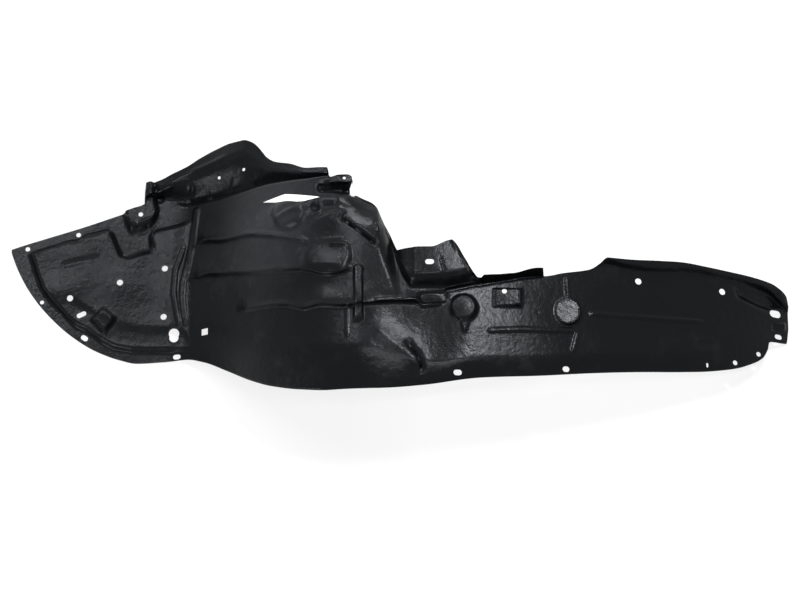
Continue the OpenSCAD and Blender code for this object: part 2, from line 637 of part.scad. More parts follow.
// The label follows the sheet's own surface, just clear of it
label_gap = 0.1;
label_at = at([-178, 150]);
label_turn = -16;
label_from_s = -245;
label_to_s = -115;
label_from_line = 17;
label_to_line = 22;
function station_from(s) = max([for (i = [0:nu]) if (stations[i] <= s) i]);
module paper_label() {
  color("#e4e4e0")
  translate([-mid_x, -mid_y, 0])
  intersection() {
    skin(
      station_from(label_from_s), station_from(label_to_s) + 1, label_from_line, label_to_line, 1, label_gap, label_t
    );
    translate([label_at[0], label_at[1], 0]) rotate([0, 0, label_turn]) linear_extrude(cut_h) polygon([
      [-(label_len + label_slant) / 2, -label_w / 2], [(label_len - label_slant) / 2, -label_w / 2],
      [(label_len + label_slant) / 2, label_w / 2], [-(label_len - label_slant) / 2, label_w / 2]
    ]);
  }
}

liner();
paper_label();
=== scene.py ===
"""Front wheel arch liner: one formed sheet of black plastic with a blank paper label, on a plain stage.

Drawn places are in millimetres: station along the car with the front at -X, then place across it,
inboard at +Y. The sheet's height over such a place is a sum of named forms.
"""
import math

import bpy
import numpy as np
from bpy.props import FloatProperty, FloatVectorProperty, IntProperty, PointerProperty
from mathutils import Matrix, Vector


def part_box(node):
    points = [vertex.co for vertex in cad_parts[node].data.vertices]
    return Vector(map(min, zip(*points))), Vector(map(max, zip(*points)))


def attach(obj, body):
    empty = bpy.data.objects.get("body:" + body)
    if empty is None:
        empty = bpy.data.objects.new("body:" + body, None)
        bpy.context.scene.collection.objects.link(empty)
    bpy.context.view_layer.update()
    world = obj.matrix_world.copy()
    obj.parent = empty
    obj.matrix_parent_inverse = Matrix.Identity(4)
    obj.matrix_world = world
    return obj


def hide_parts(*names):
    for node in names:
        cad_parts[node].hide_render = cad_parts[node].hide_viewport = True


bl_info = {
    "name": "Wheel arch liner",
    "version": (1, 0, 0),
    "blender": (4, 5, 0),
    "location": "3D View > Sidebar > Liner",
    "description": "Builds a formed wheel arch liner, its paper label and the stage it is shown on",
    "category": "Add Mesh",
}

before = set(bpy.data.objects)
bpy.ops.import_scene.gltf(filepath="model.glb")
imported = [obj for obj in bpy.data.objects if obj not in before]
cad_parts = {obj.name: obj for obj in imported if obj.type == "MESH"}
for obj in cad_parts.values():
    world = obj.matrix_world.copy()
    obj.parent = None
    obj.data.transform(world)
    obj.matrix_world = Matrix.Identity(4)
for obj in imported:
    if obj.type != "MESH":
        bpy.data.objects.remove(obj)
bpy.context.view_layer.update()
LINER_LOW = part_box("liner")[0]
MM = 0.001

# Stations of the front tip, the foot of the arch, its crown and the rear end, and the outermost place across
TIP, FOOT, CROWN, REAR = -657.0, -357.0, -30.0, 650.0
OUTERMOST = -174.0
# From drawn places to the part's own frame
SHIFT_X = LINER_LOW.x / MM - TIP
SHIFT_Y = LINER_LOW.y / MM - OUTERMOST

# Outer edge, towards the wheel, from the front tip to the rear end
OUTER_EDGE = [
    (TIP, 108), (-646, 80), (-624, 40), (-592, 0), (-551, -37), (-509, -63), (-469, -78), (-440, -84), (-398, -82),
    (-357, -80), (-326, -88), (-284, -110), (-241, -136), (-210, -151), (-160, -166), (-110, -173), (-36, -174),
    (40, -169), (126, -157), (222, -150), (320, -139), (387, -132), (455, -125), (505, -118), (548, -109),
    (576, -98), (599, -84), (610, -66), (613, -53), (645, -51), (REAR, -25),
]
# Inner edge, with the wing, the tongue, the mounting ledge and the upstanding flanges
INNER_EDGE = [
    (TIP, 114), (-637, 121), (-587, 137), (-537, 153), (-486, 171), (-450, 184), (-433, 190), (-431, 226),
    (-419, 228), (-403, 232), (-390, 238), (-363, 251), (-339, 265), (-309, 276), (-284, 281), (-264, 281),
    (-251, 276), (-241, 268), (-232, 256), (-221, 240), (-209, 231), (-183, 223), (-154, 211), (-120, 209),
    (-114, 181.5), (-98, 184), (-81, 184), (-77, 180), (-75, 152), (-61, 148), (-49, 143), (-39, 137), (-28, 118),
    (-18, 88), (-10, 60), (-5, 47), (7, 45), (20, 45), (48, 45), (80, 56), (88, 50), (100, 31), (116, 8), (124, 1),
    (150, 3), (177, 8), (227, 18), (229, 11), (260, 18), (305, 28), (320, 37), (334, 47), (360, 47), (420, 51),
    (466, 54), (504, 52), (552, 50), (590, 48), (618, 45), (636, 38), (647, 28), (REAR, 12),
]
# Line where the inner wall starts: the rim of the bulge, then the foot of the ledge and the flanges
WALL_LINE = [
    (TIP, 113), (-587, 134), (-500, 154), (-465, 166), (-433, 186), (-413, 191), (-363, 186), (-306, 186),
    (-228, 188), (-181, 185), (-146, 182), (-118, 182), (-85, 183), (-78, 178), (-75, 152), (-61, 142), (-49, 136),
    (-39, 127), (-30, 106), (-21, 82), (-12, 52), (-3, 20), (20, -20), (27, -19), (74, -17), (117, -7), (126, -5),
    (146, -3), (196, 8), (228, 12), (281, 15), (300, 20), (335, 38), (363, 33), (392, 32), (492, 40), (508, 38),
    (560, 36), (610, 30), (REAR, 2),
]
# Rim from which the bulge's inner shoulder rounds down
RIM_LINE = [
    (TIP, 113), (-433, 186), (-363, 186), (-306, 186), (-228, 188), (-181, 184), (-146, 178), (-115, 170), (-90, 159),
    (-61, 141), (-39, 127), (-30, 106), (-12, 52), (20, -20), (REAR, 2),
]
# Height that the inner wall rises, or drops where it is less than 0
WALL_RISES = [
    (TIP, 0), (-390, 0), (-350, -12), (-300, -28), (-200, -45), (-120, -52), (-85, -60), (-60, -80), (-30, -64),
    (-8, 4), (8, 13), (20, 20), (28, 26), (112, 27), (124, 26), (200, 24), (227, 22), (229, 0), (300, 0), (335, 14),
    (560, 14), (REAR, 9),
]
# Width in plan of the inner wall
WALL_RUNS = [
    (TIP, 12), (-60, 12), (-8, 14), (20, 22), (112, 22), (126, 7), (227, 7), (300, 10), (REAR, 10),
]
# Ridge of the wing, and its height above the valley beside it
WING_LINE = [
    (TIP, 113.7), (-500, 163), (-445, 182), (-431, 196), (-402, 215), (-359, 228), (-298, 243), (-281, 247),
    (-262, 250), (-245, 242), (-225, 228), (-200, 216), (-150, 202), (-120, 199), (-114, 180), (-78, 181),
    (-75, 151), (-40, 133), (-28, 115), (-18, 84), (-10, 55), (-3, 38), (14, 24), (60, 26), (84, 36),
    (112, 12), (124, 0), (177, 7.5), (227, 17.5), (281, 22), (305, 26), (334, 43), (466, 50), (504, 48), (590, 43),
    (618, 38), (638, 26), (REAR, 8),
]
WING_RISES = [
    (TIP, 0), (-440, 0), (-425, 14), (-390, 25), (-350, 34), (-300, 40), (-262, 38), (-230, 31), (-200, 26),
    (-150, 22), (-118, 18), (-112, 0), (REAR, 0),
]
# Lines along which the sheet's grid is laid, so that its folds are crisp
SHOULDER_LINE = [
    (TIP, 112.5), (-622, 105), (-556, 127), (-540, 129), (-530, 137), (-496, 146), (-490, 142), (-471, 99),
    (-460, 96), (-422, 107), (-414, 144), (-379, 151), (-346, 158), (-300, 150), (-212, 130), (-170, 122),
    (-140, 116), (-101, 114), (-60, 90), (-20, 40), (0, 2), (20, -23), (74, -22), (118, -13), (146, -11),
    (196, 0), (228, 4), (281, 8), (310, 12), (400, 16), (520, 18), (600, 14), (REAR, -2),
]
UPPER_LEDGE = [
    (TIP, 111.5), (-600, 80), (-530, 80), (-440, 70), (-400, 95), (-351, 112), (-331, 118), (-290, 110),
    (-256, 107), (-225, 98), (-186, 83), (-144, 70), (-82, 58), (-40, 30), (0, -10), (20, -27), (74, -28),
    (118, -24), (146, -22), (196, -11), (228, -6), (300, -3), (400, 0), (520, 0), (600, -2), (REAR, -8),
]
MIDDLE_LEDGE = [
    (TIP, 110.8), (-600, 62), (-530, 30), (-440, 30), (-359, 57), (-331, 59), (-285, 51), (-226, 36), (-156, 25),
    (-112, 12), (-72, 19), (-20, -8), (0, -24), (20, -31), (74, -34), (100, -44), (267, -44), (390, -43),
    (489, -38), (600, -24), (REAR, -16),
]
LOWER_LEDGE = [
    (TIP, 110.2), (-600, 52), (-560, 10), (-500, -20), (-380, -30), (-270, -17), (-239, -23), (-182, -30),
    (-153, -40), (-130, -38), (-89, -43), (-56, -41), (-1, -37), (22, -37), (35, -44), (74, -42), (96, -62),
    (120, -80), (151, -81), (271, -76), (390, -72), (500, -64), (600, -44), (REAR, -28),
]
LIP_LINE = [
    (TIP, 109.4), (-627, 98), (-613, 75), (-601, 44), (-583, 22), (-561, -2), (-524, -28), (-500, -46), (-478, -57),
    (-448, -63), (-357, -63), (-300, -88), (-240, -112), (-160, -142), (-36, -148), (40, -139), (90, -126),
    (126, -123), (222, -116), (320, -106), (387, -99), (455, -92), (548, -77), (599, -56), (645, -44), (REAR, -23),
]
# Share of the lip's drop, width of the lip, and fall of the inner shoulder, along the car
LIP_SHARES = [(TIP, 0), (-370, 0), (-260, 1), (-20, 0.85), (100, 0.5), (480, 0.35), (590, 0), (REAR, 0)]
LIP_WIDTHS = [(TIP, 60), (-300, 75), (-60, 70), (20, 45), (80, 34), (REAR, 30)]
SHOULDER_FALLS = [
    (TIP, 0), (-400, 0), (-300, 8), (-200, 18), (-100, 26), (-60, 38), (-20, 30), (10, 0), (REAR, 0),
]

# How far the pair along each line stands below and above it, steps inside it, and steps up to the next line
PAIR_GAPS = ((5, 5), (6, 3), (6, 3), (6, 3), (5, 5))
PAIR_STEPS = 5
BETWEEN_STEPS = (7, 26, 16, 14, 12, 12, 8, 8)
# Half the width of the wing's ridge, width of the band beyond it, and least pitch across the sheet
RIDGE_HALF, WING_BAND, LEAST_PITCH = 3.0, 12.0, 0.4
# Stations along the car: from, to and number of steps
SPANS = [
    (TIP, -620, 12), (-620, -433, 60), (-433, -431, 2), (-431, -395, 16), (-395, -320, 50), (-320, -145, 58),
    (-145, -120, 12), (-120, -114, 4), (-114, -77, 20), (-77, -75, 2), (-75, -5, 42), (-5, 20, 14), (20, 28, 6),
    (28, 124, 54), (124, 200, 38), (200, 227, 12), (227, 229, 2), (229, 300, 36), (300, 336, 12), (336, 600, 60),
    (600, 645, 22), (645, REAR, 4),
]

# Station at which the raised panel starts to die away, and over how far
PANEL_FADE_S, PANEL_FADE = -390.0, 48.0
# Softness of the arch's foot and of the lip's fold, and how straight the wing's inner side is
FOOT_SOFT, LIP_SOFT, WALL_FIRM = 20.0, 0.5, 0.5
# Width of the inner shoulder, and fall of the wing's outermost strip for each millimetre across
SHOULDER_W, STRIP_FALL = 80.0, 0.35
# Distance from the tip and the rear end over which the waviness grows
WAVE_FADE = 60.0
# Most that a steep place thickens the sheet, and reach of the probe for its slopes
STEEPEST, PROBE = 2.0, 1.0
# Foot and top of the punches, and the angle from which an edge is crisp
PUNCH_LOW, PUNCH_HIGH = -20.0, 320.0
SHARP_ANGLE = math.radians(66)

# Paths of the pressed features
PANEL_PATH = [
    (-622, 104), (-556, 127), (-549, 126), (-540, 128), (-530, 137), (-496, 146), (-490, 142), (-471, 99),
    (-460, 96), (-422, 107), (-416, 113), (-420, 121), (-421, 139), (-414, 144), (-379, 151), (-352, 160),
    (-325, 60), (-325, -64), (-448, -62), (-478, -56), (-500, -45), (-524, -27), (-545, -17), (-561, -1),
    (-583, 23), (-601, 45), (-613, 77),
]
HOLE_PAD_PATH = [
    (-467, 183), (-462, 160), (-455, 149), (-434, 153), (-417, 165), (-412, 179), (-416, 193), (-422, 240),
    (-467, 240),
]
BLOCK_PATH = [(-515, -12), (-497, 6), (-477, -10), (-494, -33)]
OVAL_PATH = [(-210, 127), (-204, 143), (-179, 149), (-155, 134), (-153, 119), (-166, 101), (-194, 99)]
CUSHION_PATH = [(-154, 25), (-159, 51), (-150, 60), (-136, 64), (-120, 66), (-81, 63), (-80, 17)]
RECESS_PATH = [(-136, 170), (-60, 168), (-60, 150), (-132, 154)]
WELL_PATH = [(28, -24), (74, -20), (74, -39), (39, -46), (28, -40)]
OBLONG_PATH = [(148, -15), (192, -15), (191, -41), (147, -43)]
REAR_HOLLOW_PATH = [(554, 30), (595, 35), (630, 31), (635, 14), (613, 2), (591, 5), (559, 15)]
BOX_PLATE_PATH = [(24, -2), (24, 62), (112, 62), (104, -2)]
BOX_SIDE_PATH = [(78, 62), (86, 44), (100, 20), (110, 4), (132, -4), (104, 62)]
# Dots on the wing
DOTS = [(-325, 209), (-281, 217), (-283, 206), (-243, 213), (-362, 198), (-323, 199)]

# Diameters of the clip, screw, edge screw and locating holes, and widths of the slots, the tab's slot and the slit
CLIP_D, SCREW_D, EDGE_SCREW_D, PIN_D = 10.5, 8.0, 7.0, 5.0
SLOT_W, TAB_SLOT_W, SLIT_W = 8.5, 12.5, 3.5
# Round holes: place and diameter
ROUND_HOLES = [
    (-630, 115, SCREW_D), (-545, 140, SCREW_D), (-602.5, 22, EDGE_SCREW_D), (-439, 172, SCREW_D),
    (-396, 77, CLIP_D), (-471, 53, CLIP_D), (-554, 26, CLIP_D), (-396, -7, CLIP_D),
    (165, -19, SCREW_D), (385, 16, CLIP_D), (530, 18, CLIP_D), (592, -78, SCREW_D), (549, -99, SCREW_D),
    (-305, 226, PIN_D), (-262, 231, PIN_D), (-91, 178, PIN_D),
]
# Slots: place, length, width and direction in degrees
SLOTS = [
    (-534, -2, 17, SLOT_W, 25), (-529, -40, 13, SLOT_W, -35), (-373, -74, 13, SLOT_W, 0),
    (46, 20, 14, SLOT_W, 0), (90, -151, 13, SLOT_W, 0), (263, -138, 11, SLOT_W, 0),
    (626, -3, 20, TAB_SLOT_W, 0), (630, -42, 13, SLOT_W, 0), (500, -109, 7, SLIT_W, 90),
]
# The keyhole is two round holes that run together
KEYHOLE = [(-378, -36, CLIP_D + 7), (-378, -43, CLIP_D + 5)]
# Square hole: place and side
SQUARE_HOLE = (-325, -38, 11)
# Notch beside the tongue's tip
NOTCH = [(-74, 182), (-76, 176), (-82.5, 165), (-81.5, 152), (-79, 146), (-74, 146)]

# Label: place of its middle, turn in degrees, height above the sheet, and step of its grid
LABEL_PLACE, LABEL_TURN = (-178.0, 150.0), -16.0
LABEL_GAP, LABEL_STEP = 0.45, 1.5

# Noises of the plastic and the paper: scale, detail and roughness
GRAIN, DIMPLES, FIBRE = (420, 3, 0.6), (95, 3, 0.55), (700, 4, 0.7)
PATCHES, SMEARS = (9, 4, 0.6), (38, 5, 0.7)
# Bumps of these: strength, and height in metres
GRAIN_BUMP, DIMPLE_BUMP, FIBRE_BUMP = (0.35, 0.0006), (0.4, 0.0016), (0.2, 0.0001)
# What a value is taken from and to: dust by patches and smears, roughness by patches, shade by fibre
PATCH_DUST, SMEAR_DUST = (0.5, 0.75, 0, 0.65), (0.45, 0.8, 0, 1)
PATCH_ROUGHNESS, FIBRE_SHADE = (0.3, 0.7, 0.2, 0.29), (0.4, 0.7, 0, 1)
# Painted sheen over the front of the bulge, in the lighter dust colour: its middle, its share by distance, and its
# share by smears
BULGE_SHEEN_AT = (-0.205, 0.07, 0.15)
BULGE_SHEEN, BULGE_SHEEN_SMEARS = (0.01, 0.13, 1, 0), (0.3, 0.7, 0.6, 1)
# Strength and tint of the plastic's gloss, and the paper's roughness and darkest shade
GLOSS, GLOSS_TINT = 0.095, (0.92, 0.95, 1.0, 1)
PAPER_ROUGHNESS, FIBRE_DARK = 0.75, 0.9
# Sockets of a mix node that take and give colours
MIX_A, MIX_B, MIX_RESULT = 6, 7, 2

# Stage: the floor's side, roughness and glow, and the light of the room and of the seen background
FLOOR_SIDE, FLOOR_ROUGHNESS, FLOOR_GLOW = 12.0, 0.9, 0.82
ROOM_STRENGTH, SEEN_STRENGTH = 0.25, 1.0
# Camera: what it looks at, its lens and sensor in millimetres, and how far it sees
AIM, LENS, SENSOR, SIGHT = (0.0027, -0.0537, 0.1), 109.8, 36.0, 50.0
# Lamps: name, place, aim, size and power
LAMPS = [
    ("key_lamp", (0.7, 0.64, 2.45), (0.08, -0.05, 0.15), (0.5, 0.2), 62),
    ("panel_lamp", (-1.2, 0.72, 2.4), (-0.5, 0.0, 0.1), (0.4, 0.25), 11),
    ("ledge_lamp", (-0.65, 0.96, 1.95), (-0.15, 0.05, 0.2), (0.6, 0.08), 11),
    ("wing_lamp", (-1.3, -1.5, 0.4), (-0.3, 0.2, 0.04), (0.8, 0.12), 12),
    ("foot_lamp", (-1.35, 1.12, 1.45), (-0.3, 0.05, 0.15), (0.6, 0.08), 11),
    ("edge_lamp", (0.1, -0.5, 2.2), (0.0, 0.0, 0.1), (1.2, 0.06), 18),
    ("inboard_lamp", (0.0, 2.0, 1.3), (0.0, 0.0, 0.1), (0.9, 0.15), 36),
]


class LinerSizes(bpy.types.PropertyGroup):
    """Sizes of the formed sheet, its label and its stage."""
    sheet_t: FloatProperty(
        name="Sheet thickness", description="Thickness of the formed sheet", default=0.002, unit="LENGTH")
    arch_h: FloatProperty(
        name="Arch height", description="Height of the arch's crown above the ground", default=0.235, unit="LENGTH")
    front_wall_h: FloatProperty(
        name="Front wall", description="Height at which the front wall turns into the crown", default=0.125,
        unit="LENGTH")
    panel_step: FloatProperty(
        name="Panel step", description="Height of the raised panel above its flange", default=0.013, unit="LENGTH")
    lip_drop: FloatProperty(
        name="Lip drop", description="Drop of the outer lip below the crown", default=0.026, unit="LENGTH")
    ledge_h: FloatProperty(
        name="Ledge height", description="Height of the ledges pressed across the bulge", default=0.008,
        unit="LENGTH")
    waviness: FloatProperty(
        name="Waviness", description="Height of the sheet's slow unevenness", default=0.00025, unit="LENGTH")
    label_len: FloatProperty(
        name="Label length", description="Length of the paper label", default=0.060, unit="LENGTH")
    label_w: FloatProperty(
        name="Label width", description="Width of the paper label", default=0.015, unit="LENGTH")
    label_slant: FloatProperty(
        name="Label slant", description="Slant of the label's ends along its length", default=0.034, unit="LENGTH")
    label_t: FloatProperty(
        name="Label thickness", description="Thickness of the paper label", default=0.0002, unit="LENGTH")
    hole_sides: IntProperty(
        name="Hole sides", description="Number of flats round a hole", default=40)
    plastic_colour: FloatVectorProperty(
        name="Plastic", description="Colour of the black plastic", default=(0.0022, 0.0024, 0.0028), subtype="COLOR")
    # Colour of the dust and scuffs, and also of the painted sheen over the front of the bulge
    dust_and_sheen_colour: FloatVectorProperty(
        name="Dust", description="Colour of the scuffs and dust on the plastic", default=(0.02, 0.0207, 0.0235),
        subtype="COLOR")
    paper_colour: FloatVectorProperty(
        name="Paper", description="Colour of the paper label", default=(0.72, 0.72, 0.70), subtype="COLOR")
    floor_colour: FloatVectorProperty(
        name="Floor", description="Colour of the floor", default=(0.85, 0.85, 0.85), subtype="COLOR")
    camera_height: FloatProperty(
        name="Camera angle", description="Angle of the camera above the ground", default=math.radians(75),
        subtype="ANGLE")
    camera_distance: FloatProperty(
        name="Camera distance", description="Distance of the camera from its aim", default=4.0, unit="LENGTH")


def ease(t):
    """Smooth step: 0 up to t = 0, 1 from t = 1, and three t squared less two t cubed between."""
    t = np.clip(t, 0.0, 1.0)
    return t * t * (3.0 - 2.0 * t)


def curve(points, s):
    """Smooth line through points: a cubic for each stretch, whose slope at a point is the harmonic mean of
    the two chords there, or level where the chords turn."""
    p = np.array(points, float)
    x, y = p[:, 0], p[:, 1]
    h = np.diff(x)
    chord = np.diff(y) / h
    slope = np.empty(len(x))
    slope[0], slope[-1] = chord[0], chord[-1]
    product = chord[:-1] * chord[1:]
    total = chord[:-1] + chord[1:]
    safe = np.where(product > 0, total, 1.0)
    slope[1:-1] = np.where(product > 0, 2 * product / safe, 0.0)
    s = np.clip(s, x[0], x[-1])
    i = np.clip(np.searchsorted(x, s, side="right") - 1, 0, len(h) - 1)
    t = (s - x[i]) / h[i]
    bend = slope[i] * t * (1 - t) ** 2 - slope[i + 1] * t * t * (1 - t)
    return y[i] + (y[i + 1] - y[i]) * ease(t) + h[i] * bend


def to_pieces(x, y, path):
    """From each place to each straight piece of a path: the distance, the share of the piece at its nearest
    point, and a number that is more than 0 to the left of the piece's direction."""
    p = np.array(path, float)
    a, ab = p[:-1], np.diff(p, axis=0)
    dx, dy = x[:, None] - a[:, 0], y[:, None] - a[:, 1]
    t = np.clip((dx * ab[:, 0] + dy * ab[:, 1]) / (ab ** 2).sum(1), 0, 1)
    gap = np.sqrt((dx - t * ab[:, 0]) ** 2 + (dy - t * ab[:, 1]) ** 2)
    return gap, t, ab[:, 0] * dy - ab[:, 1] * dx


def gap_to(x, y, path):
    """Distance to a path: the least distance to any of its straight pieces."""
    return to_pieces(x, y, path)[0].min(1)


def inside(x, y, path):
    """Whether a place is inside a closed path: a line from it crosses the path an odd number of times."""
    a = np.array(path, float)
    b = np.roll(a, -1, axis=0)
    rise = np.where(b[:, 1] == a[:, 1], 1.0, b[:, 1] - a[:, 1])
    across = (b[:, 0] - a[:, 0]) * (y[:, None] - a[:, 1]) / rise + a[:, 0]
    hit = ((a[:, 1] > y[:, None]) != (b[:, 1] > y[:, None])) & (x[:, None] < across)
    return hit.sum(1) % 2 == 1


def rounded(path, cut):
    """Closed path with its corners cut off twice, at the cut and at half of it, or at a quarter of a short side."""
    for reach in (cut, cut / 2):
        start = np.array(path, float)
        side = np.roll(start, -1, axis=0) - start
        share = np.minimum(reach / np.sqrt((side ** 2).sum(1)), 0.25)[:, None]
        path = np.stack([start + share * side, start + (1 - share) * side], 1).reshape(-1, 2)
    return [tuple(point) for point in path]


def plateau(x, y, path, height, riser, fall=0.0):
    """Raised area inside a closed path: the height eased in over the riser's width, centred on the path. A
    fall, the height gained for each millimetre towards the rear, makes its top level on a sloping sheet."""
    gap = gap_to(x, y, path + path[:1])
    top = height + fall * (x - np.mean([p[0] for p in path]))
    return top * ease(np.where(inside(x, y, path), gap, -gap) / riser + 0.5)


def panel(x, y, path, height, riser):
    """Raised front panel: a plateau that dies away at the foot of the arch."""
    return (1 - ease((x - PANEL_FADE_S) / PANEL_FADE)) * plateau(x, y, path, height, riser)


def bead(x, y, path, height, width):
    """Rounded bead along a path: the height eased by one less the square of the share of half the width."""
    return height * ease(1 - (2 * gap_to(x, y, path) / width) ** 2)


def crease(x, y, path, height, left, right, ends):
    """Fold with a firm line along a path: the height eases to nothing over the width to the left of the path's
    direction and over the width to its right, and runs out at both ends."""
    length = np.sqrt((np.diff(np.array(path, float), axis=0) ** 2).sum(1))
    gap, t, side = to_pieces(x, y, path)
    pick = np.arange(len(x)), gap.argmin(1)
    along = (t * length + np.cumsum(length) - length)[pick]
    share = np.clip(1 - gap[pick] / np.where(side[pick] > 0, left, right), 0, 1)
    return height * share ** 1.5 * ease(along / ends) * ease((length.sum() - along) / ends)


def disc(x, y, centre, height, diameter, riser, fall=0.0):
    """Round raised area: the height eased in over the riser's width, inside the diameter; its fall is as for a
    plateau."""
    top = height + fall * (x - centre[0])
    return top * ease((diameter / 2 - np.hypot(x - centre[0], y - centre[1])) / riser)


def ledge(x, y, path, height, riser, fade, ends=25.0):
    """Ledge that steps up along a path, dies away inboard over the fade, and runs out at both ends."""
    g = y - curve(path, x)
    up = np.where(g >= 0, np.clip(1 - g / fade, 0, 1) ** 2, ease(1 + g / riser))
    return height * up * ease((x - path[0][0]) / ends) * ease((path[-1][0] - x) / ends)


def pressed_forms(sizes):
    """Every form that is pressed into the sheet: its function, its path, and its sizes in the function's order."""
    step, line = sizes.panel_step / MM, sizes.ledge_h / MM
    return [
        # Front panel and its flange
        (panel, PANEL_PATH, step, 12),
        (bead, [(-563, 84), (-540, 90), (-511, 95)], -1.6, 15),
        (bead, [(-590, 33), (-571, 38), (-543, 46)], 1.6, 10),
        (plateau, HOLE_PAD_PATH, 15, 8),
        (bead, [(-560, 12), (-500, -28), (-440, -44), (-375, -46)], -2.5, 46),
        (plateau, BLOCK_PATH, 15.5, 8),
        # Foot of the arch
        (bead, [(-366, 110), (-378, 72), (-380, 34), (-374, 0), (-370, -17)], 3.5, 10),
        (bead, [(-344, 176), (-349, 122), (-355, 90), (-364, 52), (-365, 24), (-361, -12)], 3, 14),
        # Wing
        (bead, [(-420, 222), (-407, 203)], -2.5, 16),
        *[(disc, dot, 2.5, 9, 3.5) for dot in DOTS],
        (disc, (-354, 215), 2, 14, 3),
        (disc, (-354, 215), -2, 8, 3),
        (crease, [(-402, 214), (-373, 229), (-346, 241), (-305, 252), (-285, 256)], 3, 8, 8, 16),
        # Box for the clip tab
        (crease, [(62, 30), (66, 14), (71, -3)], -2.5, 4, 4, 8),
        (plateau, BOX_PLATE_PATH, 0, 3, 0.05),
        (plateau, BOX_SIDE_PATH, -6, 4, -0.5),
        (bead, [(32, 2), (58, -1), (71, -2), (92, 0)], 1.2, 6),
        # Ledges across the bulge, and the beads along them
        (ledge, [(-351, 112), (-331, 118), (-290, 110), (-256, 107), (-225, 98), (-186, 83), (-144, 70)],
         line, 5, 48),
        (bead, [(-345, 115), (-331, 121), (-290, 113), (-256, 110), (-225, 101), (-186, 86), (-150, 74)], 1.2, 8),
        (ledge, [(-359, 57), (-331, 59), (-285, 51), (-226, 36), (-156, 25), (-112, 12), (-72, 19)], line, 5, 48),
        (bead, [(-350, 60), (-331, 62), (-285, 54), (-226, 39), (-156, 28), (-112, 15), (-78, 21)], 1.2, 8),
        (ledge, [(-270, -17), (-239, -23), (-201, -27), (-182, -30), (-153, -40), (-130, -38), (-89, -43),
                 (-56, -41), (-1, -37), (22, -37), (35, -44), (74, -40)], line, 4.5, 40),
        (bead, [(-235, -21), (-201, -25), (-182, -28), (-153, -38), (-130, -36), (-89, -41), (-76, -40)], 1.5, 8),
        (bead, [(-37, -38), (0, -35), (28, -37)], 2.5, 7),
        # End ribs of the ledges
        (plateau, [(-73, 20), (-61, 20), (-60, -66), (-73, -67)], 7, 4),
        (bead, [(-84, -46), (-84, -90)], 2, 6),
        # Oval pad, cushion and bowl
        (plateau, rounded(OVAL_PATH, 16), 11, 15),
        (plateau, [(-150, 128), (-143, 134), (-132, 133), (-129, 123), (-138, 118)], -11, 7),
        (plateau, [(-128, 130), (-126, 135), (-103, 135), (-101, 130), (-106, 127), (-122, 126)], -7, 8),
        (plateau, rounded(CUSHION_PATH, 12), 6, 14),
        (disc, (22, -92), -8, 190, 90),
        # Creases round the pads, and the shoulder beside them
        (crease, [(-158, 80), (-147, 94), (-135, 103), (-122, 109), (-105, 113), (-86, 112)], 5, 10, 28, 10),
        (crease, [(-150, 108), (-140, 113), (-126, 119)], 4, 5, 5, 6),
        (crease, [(-204, 110), (-198, 119), (-187, 124), (-174, 127), (-156, 127)], 5, 6, 8, 8),
        (crease, [(-212, 108), (-198, 100), (-182, 97), (-163, 102)], -2.5, 12, 12, 10),
        (crease, [(-100, 106), (-68, 80), (-36, 52)], -9, 9, 5, 12),
        (plateau, [(-98, 122), (-48, 128), (-26, 88), (-62, 84)], 0, 20, 0.1),
        (crease, [(-44, 95), (-33, 81)], 3, 6, 6, 5),
        (crease, [(-165, 47), (-161, 57), (-149, 62), (-131, 66)], 2.5, 6, 8, 6),
        (crease, [(-114, 61), (-82, 56)], 2.5, 4, 4, 5),
        # Recess under the tongue, well by the box, and gutter
        (plateau, rounded(RECESS_PATH, 8), -20, 8),
        (plateau, rounded(WELL_PATH, 5), -4, 9),
        (bead, [(74, -20), (116, -10), (146, -4), (195, 7), (225, 12)], -4, 10),
        # Bosses, oblong pad and ribs of the rear band
        (disc, (100, -48), 12, 47, 8.5, 0.12),
        (disc, (267, -45), 6.5, 47, 4.5, 0.25),
        (plateau, OBLONG_PATH, 6, 5.5, 0.18),
        (plateau, [(95, -67), (108, -67), (104, -82), (101, -87), (99, -83)], 5, 4),
        (bead, [(266, 9), (268, -21)], 2.5, 7),
        (bead, [(282, -81), (275, -107)], 2, 9),
        (bead, [(142, -83), (190, -79), (230, -78), (272, -76)], 3, 9),
        (bead, [(307, -46), (390, -44), (489, -39)], 2, 8),
        # Dent in the bowl
        (crease, [(-48, -72), (-27, -92), (-10, -106), (8, -119), (19, -131), (27, -150)], 3, 32, 18, 24),
        (crease, [(2, -100), (13, -109), (20, -118), (27, -127), (31, -140), (33, -154)], -7, 11, 4, 14),
        # Rear end
        (plateau, REAR_HOLLOW_PATH, -7, 14),
        (plateau, [(619, -21), (643, -17), (643, -28), (618, -33)], 1.5, 4, 0.3),
    ]


def relief(sizes, x, y):
    """Sum of the pressed forms at flat lists of places, each worked out only near its path."""
    total = np.zeros(len(x))
    for make, path, *values in pressed_forms(sizes):
        corners = np.array(path, float).reshape(-1, 2)
        reach = max(abs(v) for v in values) + 1
        near = (
            (x > corners[:, 0].min() - reach) & (x < corners[:, 0].max() + reach)
            & (y > corners[:, 1].min() - reach) & (y < corners[:, 1].max() + reach)
        )
        if near.any():
            total[near] += make(x[near], y[near], path, *values)
    return total


def crown_height(sizes, x):
    """Height along the car: a softened foot, a straight front wall, a parabola over the crown and an arc of
    a circle down to the rear end."""
    top, wall = sizes.arch_h / MM, sizes.front_wall_h / MM
    rear_run, front_run = REAR - CROWN, CROWN - FOOT
    radius = (rear_run ** 2 + top ** 2) / (2 * top)
    reach = front_run / (1 + wall / (2 * (top - wall)))
    slope = 2 * (top - wall) / reach
    d = x - CROWN
    rear = top - radius + np.sqrt(radius ** 2 - np.maximum(d, 0) ** 2)
    crown = top - (top - wall) * (d / reach) ** 2
    front = FOOT_SOFT * np.logaddexp(0, (wall + slope * (d + reach)) / FOOT_SOFT)
    return np.where(d > 0, rear, np.where(d > -reach, crown, front))


